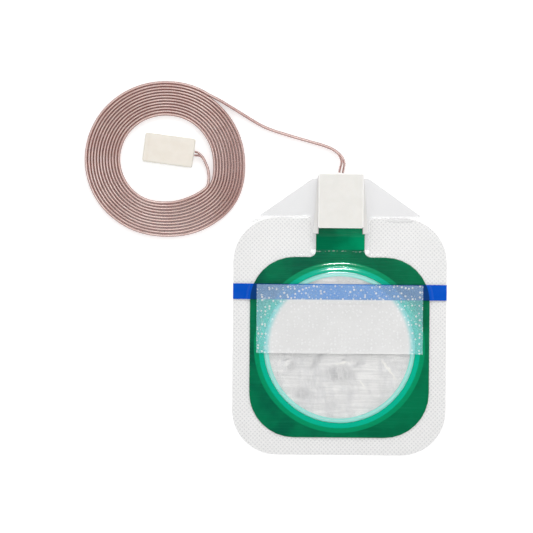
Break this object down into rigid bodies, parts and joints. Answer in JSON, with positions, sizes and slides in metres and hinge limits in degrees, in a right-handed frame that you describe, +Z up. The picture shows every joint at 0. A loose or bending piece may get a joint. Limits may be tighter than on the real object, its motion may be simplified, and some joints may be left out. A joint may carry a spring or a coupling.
{
  "type": "electrosurgical grounding pad",
  "caption": "Return electrode pad on a clear release liner, with a clamped connector, a flat twin cord wound in a coil, and a plug.",
  "frame": {"origin": "on the table under the middle of pad and connector, seen from above, without the cord and the plug", "axes": "+X across the pad, +Y along it from its foot to the connector, +Z up from the table, patient side up"},
  "size_m": [0.2353, 0.2424, 0.0085],
  "materials": {
    "nonwoven": "embossed nonwoven",
    "foil": "bright wrinkled foil",
    "green_film": "printed film",
    "gel": "clear wet gel",
    "clear_film": "clear glossy formed film",
    "blue_tape": "printed clear tape",
    "frosted_tape": "frosted tape with fine bubbles",
    "ivory_plastic": "fine satin moulding",
    "plated_metal": "tin plated",
    "core_insulation": "clear insulation over copper strands",
    "cord_jacket": "clear jacket over copper strands"
  },
  "bodies": {
    "root": {"backing_sheet": "nonwoven", "foil_plate": "foil", "green_mask": "green_film", "gel_disc": "gel", "release_liner": "clear_film", "blue_strip": "blue_tape", "frosted_strip": "frosted_tape", "clamp_base": "ivory_plastic", "clamp_lid": "ivory_plastic", "clamp_contact_left": "plated_metal", "clamp_contact_right": "plated_metal", "clamp_core_left": "core_insulation", "clamp_core_right": "core_insulation", "cord_lead": "cord_jacket", "cord_coil": "cord_jacket", "cord_tail": "cord_jacket", "plug_base": "ivory_plastic", "plug_cover": "ivory_plastic", "plug_socket_left": "plated_metal", "plug_socket_right": "plated_metal", "plug_core_left": "core_insulation", "plug_core_right": "core_insulation"}
  },
  "joints": []
}
